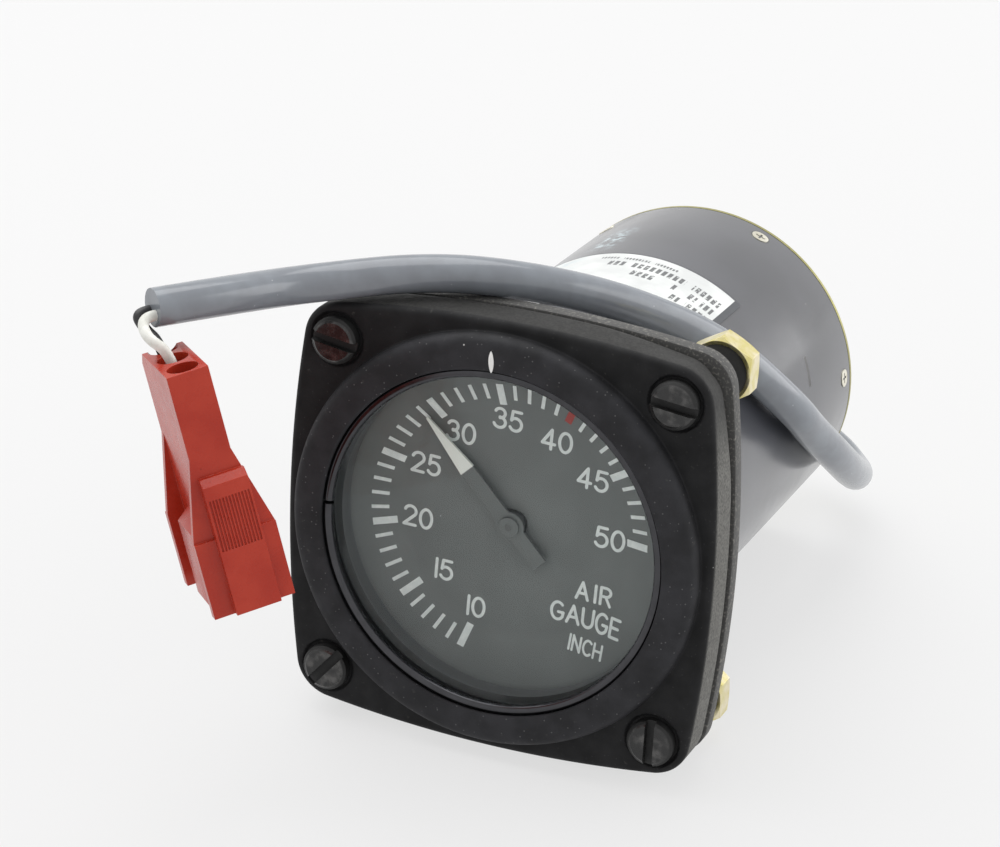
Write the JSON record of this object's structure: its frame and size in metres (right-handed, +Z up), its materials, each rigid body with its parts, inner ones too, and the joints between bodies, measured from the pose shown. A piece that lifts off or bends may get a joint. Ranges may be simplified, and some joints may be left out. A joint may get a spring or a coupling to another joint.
{
  "type": "manifold pressure indicator",
  "caption": "Round-faced manifold pressure indicator with a bowed square flange, a tube case and a lighting cable that ends in a red connector.",
  "frame": {"origin": "centre of the pilot ring on the flange's front face, where the panel seats", "axes": "+Y along the case to the rear, +Z up with the dial upright, +X to the right seen from the front"},
  "size_m": [0.0717, 0.1261, 0.0653],
  "materials": {
    "black_moulding": "matt black moulding with a fine grain",
    "case_paint": "semi-gloss slate black enamel",
    "cover_paint": "olive chromated aluminium",
    "dark_screw": "worn black oxide",
    "black_collar": "matt black",
    "yellow_nut": "yellow chromate on zinc",
    "clear_glass": "clear, polished",
    "soft_seal": "matt black rubber",
    "dark_ring": "black, satin",
    "foil": "silver foil",
    "pale_screw": "passivated",
    "port_metal": "machined",
    "grey_jacket": "satin grey jacket",
    "white_insulation": "satin",
    "black_insulation": "satin",
    "red_nylon": "moulded red nylon",
    "brass": "turned",
    "dial_grey": "matt grey",
    "dial_white": "matt white",
    "board_green": "satin",
    "movement_plate": "machined",
    "steel": "ground"
  },
  "bodies": {
    "base": {"bezel": "black_moulding", "snap_ring": "dark_ring", "glass": "clear_glass", "glass_gasket": "soft_seal", "flange_gasket": "soft_seal", "mounting_screws": "dark_screw", "nut_collars": "black_collar", "mounting_nuts": "yellow_nut", "case_body": "case_paint", "label_plate": "foil", "rear_cover": "cover_paint", "cover_seal": "soft_seal", "cover_screws": "pale_screw", "port_fitting": "port_metal", "cable_gland": "soft_seal", "cable": "grey_jacket", "white_wire": "white_insulation", "black_wire": "black_insulation", "connector_housing": "red_nylon", "connector_terminals": "brass", "dial": "dial_grey", "dial_ticks": "dial_white", "lamp_board": "board_green", "lamps": "clear_glass", "lamp_leads": "white_insulation", "front_plate": "movement_plate", "middle_plate": "movement_plate", "rear_plate": "movement_plate", "plate_pillars": "brass", "movement_screws": "steel", "hairspring": "brass", "capsule_stack": "brass", "capsule_bracket": "movement_plate"},
    "rocker": {"rocking_shaft": "steel", "sector_gear": "brass", "crank_arm": "brass"},
    "pointer_set": {"pointer": "dial_white", "pinion_shaft": "steel"},
    "link": {"capsule_link": "steel"}
  },
  "joints": [
    {"name": "rocker_turn", "type": "hinge", "parent": "base", "child": "rocker", "pos_m": [0.006, 0.042, 0.01537], "axis": [0, 1, 0], "range_deg": [-13.15, 11.85]},
    {"name": "pointer_turn", "type": "hinge", "parent": "base", "child": "pointer_set", "pos_m": [0, 0.005, 0], "axis": [0, 1, 0], "range_deg": [-118.5, 131.6]},
    {"name": "link_lift", "type": "slide", "parent": "base", "child": "link", "axis": [0, 0, 1], "range_m": [-0.00138, 0.00125], "deforming": ["capsule_stack"]}
  ],
  "couplings": [
    {"joint": "pointer_turn", "follows": "rocker_turn", "ratio": -10},
    {"joint": "link_lift", "follows": "rocker_turn", "m_per_rad": 0.006}
  ]
}
